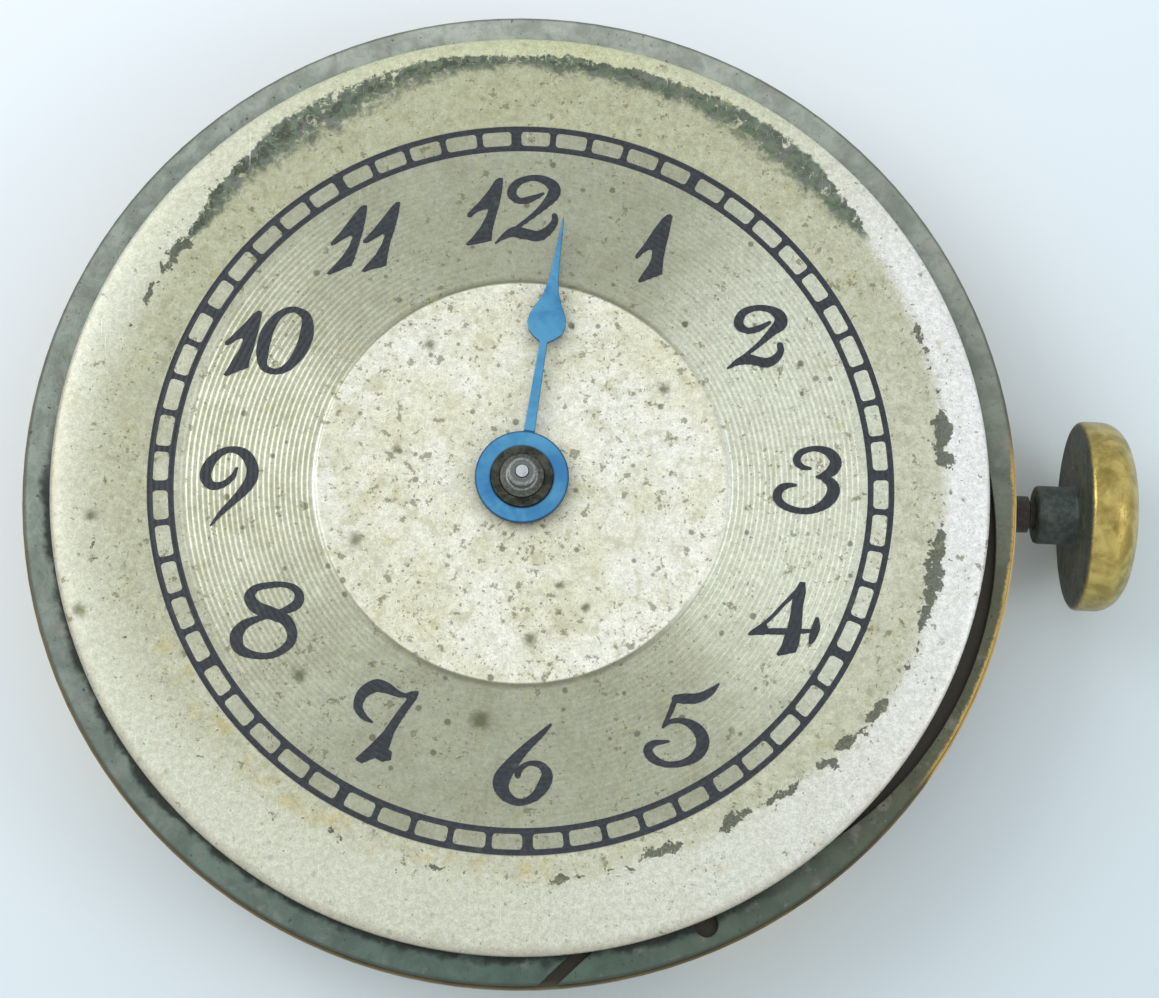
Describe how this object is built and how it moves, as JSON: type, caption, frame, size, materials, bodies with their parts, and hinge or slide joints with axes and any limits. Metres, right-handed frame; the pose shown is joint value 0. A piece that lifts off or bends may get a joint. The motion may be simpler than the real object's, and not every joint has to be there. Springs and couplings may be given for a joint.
{
  "type": "watch movement",
  "caption": "Round pocket watch movement with silvered numeral dial, blued hour hand, crown on its stem, going train, lever escapement and keyless winding under bridges.",
  "frame": {"origin": "movement centre on the plane that the dial rests on", "axes": "+Z out through the dial, +X along the winding stem to the crown, +Y to the twelve o'clock side"},
  "size_m": [0.0329, 0.0292, 0.0066],
  "materials": {
    "gilt_plate": "gilt, worn",
    "verdigris_ring": "weathered grey-green",
    "silvered_dial": "silvered, stained",
    "crown_gold": "worn gilt",
    "blued_steel": "blued",
    "copper_feet": "plain",
    "train_brass": "polished",
    "steel": "brushed",
    "screw_steel": "dark polished",
    "nickel_cover": "satin",
    "ruby": "polished ruby"
  },
  "bodies": {
    "plate": {"mainplate": "gilt_plate", "dial_ring": "verdigris_ring", "dial": "silvered_dial", "dial_feet": "copper_feet", "dial_foot_screws": "screw_steel", "dial_washer": "train_brass", "setting_lever_screw": "screw_steel", "yoke_spring": "steel", "setting_cover": "nickel_cover", "small_screws": "screw_steel", "barrel_bridge": "gilt_plate", "train_bridge": "gilt_plate", "balance_cock": "gilt_plate", "pallet_bridge": "gilt_plate", "bridge_screws": "screw_steel", "hairspring": "blued_steel", "hairspring_stud": "steel", "end_pieces": "steel", "crown_wheel_screw": "screw_steel", "click_spring": "steel", "jewels": "ruby"},
    "centre": {"centre_arbor": "steel", "centre_wheel": "train_brass"},
    "barrel": {"barrel_drum": "train_brass", "barrel_cover": "train_brass", "mainspring": "steel"},
    "third": {"third_arbor": "steel", "third_wheel": "train_brass"},
    "fourth": {"fourth_arbor": "steel", "fourth_wheel": "train_brass"},
    "escape": {"escape_arbor": "steel", "escape_wheel": "train_brass"},
    "cannon": {"cannon_pinion": "steel"},
    "minute": {"minute_wheel": "train_brass", "minute_pinion": "steel"},
    "hour": {"hour_wheel": "train_brass", "hour_hand": "blued_steel"},
    "intermediate": {"intermediate_wheel": "steel"},
    "setting": {"setting_wheel": "steel"},
    "winding": {"winding_pinion": "steel"},
    "stem": {"winding_stem": "steel", "crown": "crown_gold"},
    "clutch": {"clutch_wheel": "steel"},
    "crown_gear": {"crown_wheel": "steel"},
    "ratchet": {"ratchet_wheel": "steel", "ratchet_screw": "screw_steel", "barrel_arbor": "steel"},
    "lever": {"setting_lever": "steel"},
    "yoke_arm": {"yoke": "steel"},
    "click_pawl": {"click": "steel"},
    "balance": {"balance_wheel": "train_brass", "balance_screws": "train_brass", "balance_staff": "steel", "roller_table": "steel", "impulse_jewel": "ruby", "hairspring_collet": "train_brass"},
    "pallets": {"pallet_fork": "steel", "pallet_stones": "ruby", "pallet_arbor": "steel"},
    "regulator_arm": {"regulator": "steel"}
  },
  "joints": [
    {"name": "train_run", "type": "hinge", "parent": "plate", "child": "centre", "pos_m": [0, 0, 0], "axis": [0, 0, 1], "continuous": true},
    {"name": "barrel_turn", "type": "hinge", "parent": "plate", "child": "barrel", "pos_m": [0.00389, 0.00583, 0], "axis": [0, 0, 1], "continuous": true, "deforming": ["mainspring"]},
    {"name": "third_turn", "type": "hinge", "parent": "plate", "child": "third", "pos_m": [-0.00579, 0.00081, 0], "axis": [0, 0, 1], "continuous": true},
    {"name": "fourth_turn", "type": "hinge", "parent": "plate", "child": "fourth", "pos_m": [-0.00847, -0.00302, 0], "axis": [0, 0, 1], "continuous": true},
    {"name": "escape_turn", "type": "hinge", "parent": "plate", "child": "escape", "pos_m": [-0.00662, -0.00651, 0], "axis": [0, 0, 1], "continuous": true},
    {"name": "hands_set", "type": "hinge", "parent": "plate", "child": "cannon", "pos_m": [0, 0, 0], "axis": [0, 0, 1], "continuous": true},
    {"name": "minute_turn", "type": "hinge", "parent": "plate", "child": "minute", "pos_m": [0.00103, -0.00282, 0], "axis": [0, 0, 1], "continuous": true},
    {"name": "hour_turn", "type": "hinge", "parent": "plate", "child": "hour", "pos_m": [0, 0, 0], "axis": [0, 0, 1], "continuous": true},
    {"name": "intermediate_turn", "type": "hinge", "parent": "plate", "child": "intermediate", "pos_m": [0.00449, -0.00176, 0], "axis": [0, 0, 1], "continuous": true},
    {"name": "setting_turn", "type": "hinge", "parent": "plate", "child": "setting", "pos_m": [0.00661, 0, 0], "axis": [0, 0, 1], "continuous": true},
    {"name": "crown_turn", "type": "hinge", "parent": "plate", "child": "winding", "pos_m": [0.0107, 0, -0.00185], "axis": [1, 0, 0], "continuous": true},
    {"name": "crown_wheel_turn", "type": "hinge", "parent": "plate", "child": "crown_gear", "pos_m": [0.00845, 0, 0], "axis": [0, 0, 1], "continuous": true},
    {"name": "ratchet_turn", "type": "hinge", "parent": "plate", "child": "ratchet", "pos_m": [0.00389, 0.00583, 0], "axis": [0, 0, 1], "continuous": true},
    {"name": "crown_pull", "type": "slide", "parent": "winding", "child": "stem", "axis": [1, 0, 0], "range_m": [0, 0.0006]},
    {"name": "clutch_slide", "type": "slide", "parent": "winding", "child": "clutch", "axis": [1, 0, 0], "range_m": [-0.000555, 0]},
    {"name": "lever_swing", "type": "hinge", "parent": "plate", "child": "lever", "pos_m": [0.01225, -0.0022, 0], "axis": [0, 0, 1], "range_deg": [-15.7, 0]},
    {"name": "yoke_swing", "type": "hinge", "parent": "plate", "child": "yoke_arm", "pos_m": [0.0079, -0.0049, 0], "axis": [0, 0, 1], "range_deg": [0, 6.5], "deforming": ["yoke_spring"]},
    {"name": "click_lift", "type": "hinge", "parent": "plate", "child": "click_pawl", "pos_m": [-0.00095, 0.00941, 0], "axis": [0, 0, 1], "range_deg": [-8, 5], "stiffness_Nm_per_rad": 0.000002, "deforming": ["click_spring"]},
    {"name": "balance_swing", "type": "hinge", "parent": "plate", "child": "balance", "pos_m": [-0.0011, -0.00789, 0], "axis": [0, 0, 1], "range_deg": [-22.5, 22.5], "stiffness_Nm_per_rad": 0.00000023, "deforming": ["hairspring"]},
    {"name": "pallet_rock", "type": "hinge", "parent": "plate", "child": "pallets", "pos_m": [-0.00381, -0.00721, 0], "axis": [0, 0, 1], "range_deg": [-5.1, 5.1]},
    {"name": "regulator_swing", "type": "hinge", "parent": "plate", "child": "regulator_arm", "pos_m": [-0.0011, -0.00789, 0], "axis": [0, 0, 1], "range_deg": [-12, 12]}
  ],
  "couplings": [
    {"joint": "barrel_turn", "follows": "train_run", "ratio": -0.1375},
    {"joint": "third_turn", "follows": "train_run", "ratio": -8},
    {"joint": "fourth_turn", "follows": "train_run", "ratio": 60},
    {"joint": "escape_turn", "follows": "train_run", "ratio": -600},
    {"joint": "minute_turn", "follows": "hands_set", "ratio": -0.33333},
    {"joint": "hour_turn", "follows": "hands_set", "ratio": 0.083333},
    {"joint": "intermediate_turn", "follows": "hands_set", "ratio": 0.54545},
    {"joint": "setting_turn", "follows": "hands_set", "ratio": -0.54545},
    {"joint": "crown_wheel_turn", "follows": "crown_turn", "ratio": 0.61538},
    {"joint": "ratchet_turn", "follows": "crown_turn", "ratio": -0.33333},
    {"joint": "clutch_slide", "follows": "crown_pull", "ratio": -0.92},
    {"joint": "lever_swing", "follows": "crown_pull", "rad_per_m": -454.55},
    {"joint": "yoke_swing", "follows": "crown_pull", "rad_per_m": 187.76},
    {"joint": "pallet_rock", "follows": "balance_swing", "ratio": -0.22271}
  ]
}
